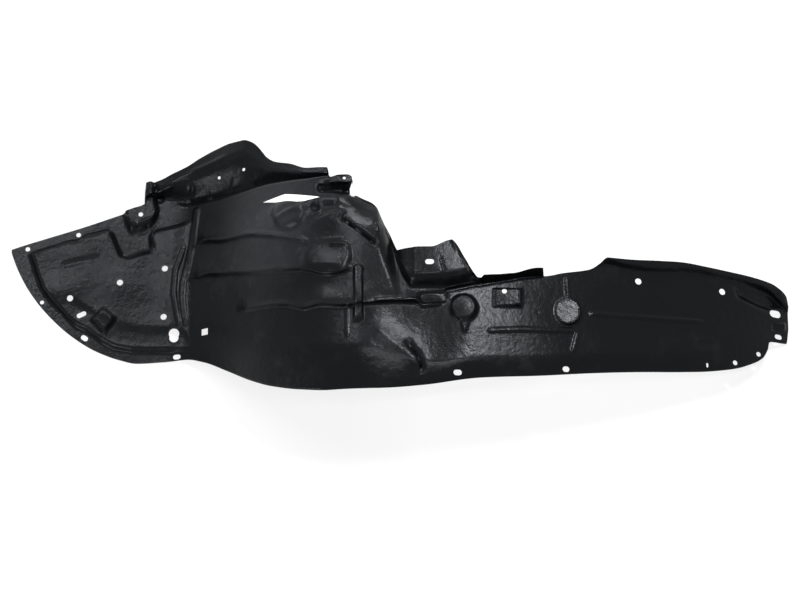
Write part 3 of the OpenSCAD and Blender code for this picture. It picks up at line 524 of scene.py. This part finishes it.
def fold(t):
    """Straight slope that starts softly: t squared over t plus the softness, scaled to be 1 at t = 1."""
    t = np.clip(t, 0, None)
    return t * t * (1 + LIP_SOFT) / (t + LIP_SOFT)


def firm(t):
    """Rise from 0 to 1 whose foot and top are firmer folds: half smooth step, half straight."""
    return WALL_FIRM * np.clip(t, 0, 1) + (1 - WALL_FIRM) * ease(t)


def waviness(sizes, x, y):
    """Slow unevenness of a formed sheet: three sines, each with a wavelength of about 100 mm, whose phases
    wander over the sheet as two slower sines do, and none at either end."""
    wander = 2.3 * np.sin(x / 83 + 0.7) + 1.9 * np.sin(y / 47 + x / 131)
    wave = np.sin(x / 15 + wander) + np.sin(y / 19 - wander) + np.sin((0.6 * x + y) / 23 + 1.4 * wander)
    return sizes.waviness / MM * wave * ease((x - TIP) / WAVE_FADE) * ease((REAR - x) / WAVE_FADE)


def under_height(sizes, x, y):
    """Height of the sheet's underside in millimetres: the crown, less the outer lip's slope and the inner
    shoulder's parabola, plus the inner wall, the wing and the pressed forms, and never under the ground."""
    edge, rim, run = curve(OUTER_EDGE, x), curve(WALL_LINE, x), curve(WALL_RUNS, x)
    inward = np.clip(curve(RIM_LINE, x) - y, 0, None)
    foot = rim + run
    ridge = np.maximum(foot + 1, curve(WING_LINE, x))
    wing = curve(WING_RISES, x)
    lip = sizes.lip_drop / MM * curve(LIP_SHARES, x)
    height = (
        crown_height(sizes, x)
        - lip * fold(1 - (y - edge) / curve(LIP_WIDTHS, x))
        - curve(SHOULDER_FALLS, x) * np.clip(1 - inward / SHOULDER_W, 0, None) ** 2
        + curve(WALL_RISES, x) * ease((y - rim) / run)
        + wing * firm((y - foot) / (ridge - foot))
        - STRIP_FALL * np.clip(wing / WING_BAND, 0, 1) * np.clip(y - ridge - WING_BAND, 0, None)
        + relief(sizes, x, y)
        + waviness(sizes, x, y)
    )
    return np.maximum(height, 0)


def over_height(sizes, x, y, under):
    """Height of the sheet's upper face: the thickness times the steepness, which is the root of one plus the
    squares of both slopes, and at most twice."""
    slope_x = (under_height(sizes, x + PROBE, y) - under_height(sizes, x - PROBE, y)) / (2 * PROBE)
    slope_y = (under_height(sizes, x, y + PROBE) - under_height(sizes, x, y - PROBE)) / (2 * PROBE)
    steep = np.minimum(STEEPEST, np.sqrt(1 + slope_x ** 2 + slope_y ** 2))
    return under + sizes.sheet_t / MM * steep


def across_lines(stations):
    """Places across the sheet for each station: evenly spaced between the drawn lines, and kept in order by
    a least pitch."""
    edge, top = curve(OUTER_EDGE, stations), curve(INNER_EDGE, stations)
    rim = curve(WALL_LINE, stations)
    ridge = curve(WING_LINE, stations)
    lines = [curve(p, stations) for p in (LIP_LINE, LOWER_LEDGE, MIDDLE_LEDGE, UPPER_LEDGE, SHOULDER_LINE)]
    pairs = [(edge, edge)]
    pairs += [(c - low, c + high) for c, (low, high) in zip(lines, PAIR_GAPS)]
    pairs += [(rim, rim + curve(WALL_RUNS, stations)), (ridge - RIDGE_HALF, ridge + WING_BAND), (top, top)]
    columns = [edge]
    for low, high, steps in zip(pairs[:-1], pairs[1:], BETWEEN_STEPS):
        share = np.arange(1, steps + 1) / steps
        columns += [low[1] + (high[0] - low[1]) * t for t in share]
        if high is not pairs[-1]:
            columns += [high[0] + (high[1] - high[0]) * t for t in np.arange(1, PAIR_STEPS + 1) / PAIR_STEPS]
    raw = np.stack(columns, 1)
    count = raw.shape[1] - 1
    pitch = np.minimum(LEAST_PITCH, (top - edge) / count / 2)[:, None]
    index = np.arange(count + 1)[None, :]
    ordered = np.maximum.accumulate(raw - index * pitch, axis=1) + index * pitch
    return np.minimum(ordered, top[:, None] - (count - index) * pitch)


def closed_sheet(name, under, over):
    """Mesh of a thin solid: a grid of quads above, one below at half the fineness, and a strip round the rim
    whose faces each join one step below to two above. Both grids have an even number of steps."""
    fine = np.arange(over[..., 0].size).reshape(over.shape[:2])
    below = under[::2, ::2]
    coarse = np.arange(below[..., 0].size).reshape(below.shape[:2]) + fine.size
    points = np.concatenate([over.reshape(-1, 3), below.reshape(-1, 3)]) * MM

    def quads(grid):
        return np.stack([grid[:-1, :-1], grid[1:, :-1], grid[1:, 1:], grid[:-1, 1:]], -1).reshape(-1, 4)

    def rim(grid):
        return np.concatenate([grid[:-1, 0], grid[-1, :-1], grid[:0:-1, -1], grid[0, :0:-1]])

    top, low = rim(fine), rim(coarse)
    sides = np.stack([low, np.roll(low, -1), np.roll(top, -2)[::2], np.roll(top, -1)[::2], top[::2]], -1)
    faces = quads(fine).tolist() + quads(coarse)[:, ::-1].tolist() + sides.tolist()
    mesh = bpy.data.meshes.new(name)
    mesh.from_pydata(points.tolist(), [], faces)
    mesh.update()
    return mesh


def ring(x, y, diameter, sides):
    """Round outline with even corners."""
    a = np.arange(sides) * 2 * math.pi / sides
    return np.stack([x + diameter / 2 * np.cos(a), y + diameter / 2 * np.sin(a)], 1)


def slot_outline(x, y, length, width, turn, sides):
    """Outline of a slot: two half rounds joined by straight sides, turned by an angle."""
    a = np.linspace(-math.pi / 2, math.pi / 2, sides // 2 + 1)
    end = np.stack([(length - width) / 2 + width / 2 * np.cos(a), width / 2 * np.sin(a)], 1)
    both = np.concatenate([end, -end])
    c, s = math.cos(math.radians(turn)), math.sin(math.radians(turn))
    return np.stack([x + both[:, 0] * c - both[:, 1] * s, y + both[:, 0] * s + both[:, 1] * c], 1)


def joined_rounds(rounds, sides):
    """Outline of two round holes that run together: from their middle, the farther of the two rims."""
    centre = np.mean([r[:2] for r in rounds], axis=0)
    a = np.arange(sides) * 2 * math.pi / sides
    ray = np.stack([np.cos(a), np.sin(a)], 1)
    reach = []
    for x, y, d in rounds:
        to = np.array([x, y]) - centre
        along = ray @ to
        reach.append(along + np.sqrt((d / 2) ** 2 - (to @ to - along ** 2)))
    return centre + ray * np.max(reach, axis=0)[:, None]


def hole_outlines(sizes):
    """Outline of every hole that is punched through the sheet."""
    sides = sizes.hole_sides
    x, y, side = SQUARE_HOLE
    square = np.array([(-1, -1), (1, -1), (1, 1), (-1, 1)]) * side / 2 + (x, y)
    return (
        [ring(*hole, sides) for hole in ROUND_HOLES]
        + [slot_outline(*slot, sides) for slot in SLOTS]
        + [joined_rounds(KEYHOLE, sides), square, np.array(NOTCH, float)[::-1]]
    )


def punches(outlines):
    """One object that holds an upright prism for each outline."""
    points, faces, start = [], [], 0
    for outline in outlines:
        n = len(outline)
        area = np.sum(outline[:, 0] * np.roll(outline[:, 1], -1) - outline[:, 1] * np.roll(outline[:, 0], -1))
        turn = outline if area > 0 else outline[::-1]
        turn = turn + (SHIFT_X, SHIFT_Y)
        for level in (PUNCH_LOW, PUNCH_HIGH):
            points += [(x * MM, y * MM, level * MM) for x, y in turn]
        low = np.arange(n) + start
        ahead = np.roll(low, -1)
        faces.append(low[::-1].tolist())
        faces.append((low + n).tolist())
        faces += np.stack([low, ahead, ahead + n, low + n], 1).tolist()
        start += 2 * n
    mesh = bpy.data.meshes.new("punches")
    mesh.from_pydata(points, [], faces)
    mesh.update()
    return add_object("punches", mesh)


def add_object(name, data):
    """Object at the origin that holds a mesh, a lamp or a camera."""
    obj = bpy.data.objects.new(name, data)
    bpy.context.scene.collection.objects.link(obj)
    return obj


def punch(obj, cutter):
    """Takes the cutter out of the object, and deletes the cutter."""
    cut = obj.modifiers.new("holes", "BOOLEAN")
    cut.operation = "DIFFERENCE"
    cut.solver = "MANIFOLD"
    cut.object = cutter
    graph = bpy.context.evaluated_depsgraph_get()
    done = bpy.data.meshes.new_from_object(obj.evaluated_get(graph))
    obj.modifiers.clear()
    obj.data = done
    bpy.data.objects.remove(cutter)


def smooth(mesh):
    """Smooth shading, with a crisp edge where two faces meet at a sharp angle."""
    mesh.shade_smooth()
    mesh.set_sharp_from_angle(angle=SHARP_ANGLE)


def surface_points(sizes, x, y):
    """Lower and upper points of the sheet over a grid of places, in the part's own frame."""
    flat_x, flat_y = x.ravel(), y.ravel()
    under = under_height(sizes, flat_x, flat_y)
    over = over_height(sizes, flat_x, flat_y, under)
    place = [flat_x + SHIFT_X, flat_y + SHIFT_Y]
    return [np.stack(place + [z], -1).reshape(x.shape + (3,)) for z in (under, over)]


def shader(name):
    """New material with its node tree and its main shader."""
    material = bpy.data.materials.new(name)
    material.use_nodes = True
    return material, material.node_tree, material.node_tree.nodes["Principled BSDF"]


def noise(tree, scale, detail, roughness):
    """Noise over the object's own coordinates."""
    place = tree.nodes.new("ShaderNodeTexCoord")
    texture = tree.nodes.new("ShaderNodeTexNoise")
    texture.inputs["Scale"].default_value = scale
    texture.inputs["Detail"].default_value = detail
    texture.inputs["Roughness"].default_value = roughness
    tree.links.new(place.outputs["Object"], texture.inputs["Vector"])
    return texture.outputs["Fac"]


def distance(tree, point):
    """Distance from a point in the object's own coordinates."""
    node = tree.nodes.new("ShaderNodeVectorMath")
    node.operation = "DISTANCE"
    node.inputs[1].default_value = point
    tree.links.new(tree.nodes.new("ShaderNodeTexCoord").outputs["Object"], node.inputs[0])
    return node.outputs["Value"]


def spread(tree, value, low, high, to_low, to_high):
    """A value's range low to high taken to another range, and held there."""
    node = tree.nodes.new("ShaderNodeMapRange")
    node.inputs["From Min"].default_value = low
    node.inputs["From Max"].default_value = high
    node.inputs["To Min"].default_value = to_low
    node.inputs["To Max"].default_value = to_high
    tree.links.new(value, node.inputs["Value"])
    return node.outputs["Result"]


def joined(tree, operation, first, second):
    """Two values joined by a math operation, and held between 0 and 1."""
    node = tree.nodes.new("ShaderNodeMath")
    node.operation = operation
    node.use_clamp = True
    tree.links.new(first, node.inputs[0])
    tree.links.new(second, node.inputs[1])
    return node.outputs[0]


def blend(tree, share, first, second):
    """Colour at a share of the way from one colour to another."""
    node = tree.nodes.new("ShaderNodeMix")
    node.data_type = "RGBA"
    node.inputs[MIX_A].default_value = (*first, 1)
    node.inputs[MIX_B].default_value = (*second, 1)
    tree.links.new(share, node.inputs["Factor"])
    return node.outputs[MIX_RESULT]


def bump(tree, height, strength, distance_m, under=None):
    """Bump by a height, which may lie over another bump."""
    node = tree.nodes.new("ShaderNodeBump")
    node.inputs["Strength"].default_value = strength
    node.inputs["Distance"].default_value = distance_m
    tree.links.new(height, node.inputs["Height"])
    if under is not None:
        tree.links.new(under, node.inputs["Normal"])
    return node.outputs["Normal"]


def black_plastic(sizes):
    """Formed black polyethylene: a fine grain over slow dimples, a roughness that changes in patches, and faint
    dust in patches; over the front of the bulge the same lighter colour is a painted sheen."""
    material, tree, plastic = shader("black_plastic")
    patches, smears = noise(tree, *PATCHES), noise(tree, *SMEARS)
    dust = joined(tree, "MULTIPLY", spread(tree, patches, *PATCH_DUST), spread(tree, smears, *SMEAR_DUST))
    # Painted sheen: a lighter film over the front of the bulge, strongest near its middle and broken up by smears
    near_bulge_sheen = spread(tree, distance(tree, BULGE_SHEEN_AT), *BULGE_SHEEN)
    sheen_film = joined(tree, "MULTIPLY", near_bulge_sheen, spread(tree, smears, *BULGE_SHEEN_SMEARS))
    colour = blend(tree, joined(tree, "ADD", dust, sheen_film), sizes.plastic_colour, sizes.dust_and_sheen_colour)
    tree.links.new(colour, plastic.inputs["Base Color"])
    tree.links.new(spread(tree, patches, *PATCH_ROUGHNESS), plastic.inputs["Roughness"])
    plastic.inputs["Specular IOR Level"].default_value = GLOSS
    plastic.inputs["Specular Tint"].default_value = GLOSS_TINT
    dimples = bump(tree, noise(tree, *DIMPLES), *DIMPLE_BUMP)
    tree.links.new(bump(tree, noise(tree, *GRAIN), *GRAIN_BUMP, dimples), plastic.inputs["Normal"])
    return material


def label_paper(sizes):
    """Matt off-white paper with a faint fibre."""
    material, tree, paper = shader("label_paper")
    fibre = noise(tree, *FIBRE)
    dark = [c * FIBRE_DARK for c in sizes.paper_colour]
    tree.links.new(
        blend(tree, spread(tree, fibre, *FIBRE_SHADE), sizes.paper_colour, dark), paper.inputs["Base Color"])
    paper.inputs["Roughness"].default_value = PAPER_ROUGHNESS
    tree.links.new(bump(tree, fibre, *FIBRE_BUMP), paper.inputs["Normal"])
    return material


def background_share(tree):
    """1 for a ray from the camera, a mirror or clear glass, which shows the plain background, and else 0."""
    path = tree.nodes.new("ShaderNodeLightPath")
    value = path.outputs["Is Camera Ray"]
    for other in ("Is Glossy Ray", "Is Transmission Ray"):
        value = joined(tree, "MAXIMUM", value, path.outputs[other])
    return value


def mix_shaders(tree, share, first, second):
    """Shader at a share of the way from one shader to another."""
    node = tree.nodes.new("ShaderNodeMixShader")
    for value, socket in zip((share, first, second), node.inputs):
        tree.links.new(value, socket)
    return node.outputs[0]


class FormSheet(bpy.types.Operator):
    """Form the liner's sheet and punch its holes"""
    bl_idname = "liner.form_sheet"
    bl_label = "Form sheet"

    def execute(self, context):
        sizes = context.scene.liner_sizes
        stations = np.concatenate([np.arange(n) / n * (b - a) + a for a, b, n in SPANS] + [[REAR]])
        across = across_lines(stations)
        along = np.repeat(stations[:, None], across.shape[1], axis=1)
        under, over = surface_points(sizes, along, across)
        sheet = add_object("formed_sheet", closed_sheet("formed_sheet", under, over))
        punch(sheet, punches(hole_outlines(sizes)))
        sheet.data.name = "formed_sheet"
        smooth(sheet.data)
        sheet.data.materials.clear()
        sheet.data.materials.append(black_plastic(sizes))
        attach(sheet, "root")
        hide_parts("liner")
        return {"FINISHED"}


class StickLabel(bpy.types.Operator):
    """Lay the blank paper label on the arch's inboard shoulder"""
    bl_idname = "liner.stick_label"
    bl_label = "Stick label"

    def execute(self, context):
        sizes = context.scene.liner_sizes
        length, width = sizes.label_len / MM, sizes.label_w / MM
        u = np.linspace(-length / 2, length / 2, 2 * round(length / LABEL_STEP) + 1)
        v = np.linspace(-width / 2, width / 2, 2 * round(width / LABEL_STEP) + 1)
        u, v = np.meshgrid(u, v, indexing="ij")
        u = u + v * (sizes.label_slant / sizes.label_w)
        c, s = math.cos(math.radians(LABEL_TURN)), math.sin(math.radians(LABEL_TURN))
        x = LABEL_PLACE[0] + u * c - v * s
        y = LABEL_PLACE[1] + u * s + v * c
        on = surface_points(sizes, x, y)[1]
        low = on + (0, 0, LABEL_GAP)
        high = low + (0, 0, sizes.label_t / MM)
        label = add_object("blank_label", closed_sheet("blank_label", low, high))
        smooth(label.data)
        label.data.materials.append(label_paper(sizes))
        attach(label, "root")
        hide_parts("paper_label")
        return {"FINISHED"}


def lay_floor(sizes):
    """Matt floor that glows to a seeing ray, so that it is as light as the background."""
    half = FLOOR_SIDE / 2
    mesh = bpy.data.meshes.new("floor")
    mesh.from_pydata([(-half, -half, 0), (half, -half, 0), (half, half, 0), (-half, half, 0)], [], [(0, 1, 2, 3)])
    floor = add_object("floor", mesh)
    material, tree, matt = shader("floor_matt")
    matt.inputs["Base Color"].default_value = (*sizes.floor_colour, 1)
    matt.inputs["Roughness"].default_value = FLOOR_ROUGHNESS
    glow = tree.nodes.new("ShaderNodeEmission")
    share = spread(tree, background_share(tree), 0, 1, 0, FLOOR_GLOW)
    both = mix_shaders(tree, share, matt.outputs[0], glow.outputs[0])
    tree.links.new(both, tree.nodes["Material Output"].inputs["Surface"])
    mesh.materials.append(material)


def light_world(scene):
    """White world, which lights the part weakly and is seen at full strength."""
    scene.world = bpy.data.worlds.new("studio")
    scene.world.use_nodes = True
    tree = scene.world.node_tree
    room, seen = tree.nodes["Background"], tree.nodes.new("ShaderNodeBackground")
    for node, strength in ((room, ROOM_STRENGTH), (seen, SEEN_STRENGTH)):
        node.inputs["Color"].default_value = (1, 1, 1, 1)
        node.inputs["Strength"].default_value = strength
    both = mix_shaders(tree, background_share(tree), room.outputs[0], seen.outputs[0])
    tree.links.new(both, tree.nodes["World Output"].inputs["Surface"])


def turn_to(obj, aim):
    """Turns a lamp or camera so that it looks at its aim."""
    obj.rotation_euler = (Vector(aim) - obj.location).to_track_quat("-Z", "Y").to_euler()


def add_lamp(name, place, aim, size, power):
    """Flat lamp at a place, turned to its aim."""
    data = bpy.data.lights.new(name, "AREA")
    data.shape = "RECTANGLE"
    data.size, data.size_y = size
    data.energy = power
    lamp = add_object(name, data)
    lamp.location = place
    turn_to(lamp, aim)


def place_camera(scene, sizes):
    """Camera that looks at its aim from outboard, at its angle above the ground."""
    data = bpy.data.cameras.new("camera")
    data.sensor_fit = "HORIZONTAL"
    data.sensor_width = SENSOR
    data.lens = LENS
    data.clip_end = SIGHT
    camera = add_object("camera", data)
    rise = sizes.camera_height
    camera.location = Vector(AIM) + sizes.camera_distance * Vector((0, -math.cos(rise), math.sin(rise)))
    turn_to(camera, AIM)
    scene.camera = camera


class SetStage(bpy.types.Operator):
    """Lay the floor, and set the lamps, the world and the camera"""
    bl_idname = "liner.set_stage"
    bl_label = "Set stage"

    def execute(self, context):
        scene = context.scene
        lay_floor(scene.liner_sizes)
        light_world(scene)
        for lamp in LAMPS:
            add_lamp(*lamp)
        place_camera(scene, scene.liner_sizes)
        scene.view_settings.view_transform = "Standard"
        return {"FINISHED"}


class LinerPanel(bpy.types.Panel):
    """Lists the liner's sizes and the steps that build it."""
    bl_idname = "VIEW3D_PT_liner"
    bl_label = "Wheel arch liner"
    bl_space_type = "VIEW_3D"
    bl_region_type = "UI"
    bl_category = "Liner"

    def draw(self, context):
        sizes = context.scene.liner_sizes
        for name in LinerSizes.__annotations__:
            self.layout.prop(sizes, name)
        for step in STEPS:
            self.layout.operator(step.bl_idname)


STEPS = (FormSheet, StickLabel, SetStage)
CLASSES = (LinerSizes,) + STEPS + (LinerPanel,)


def register():
    for cls in CLASSES:
        bpy.utils.register_class(cls)
    bpy.types.Scene.liner_sizes = PointerProperty(type=LinerSizes)


def unregister():
    del bpy.types.Scene.liner_sizes
    for cls in reversed(CLASSES):
        bpy.utils.unregister_class(cls)


def main():
    """Builds every piece and the stage."""
    register()
    bpy.ops.liner.form_sheet()
    bpy.ops.liner.stick_label()
    bpy.ops.liner.set_stage()


if __name__ == "__main__":
    main()
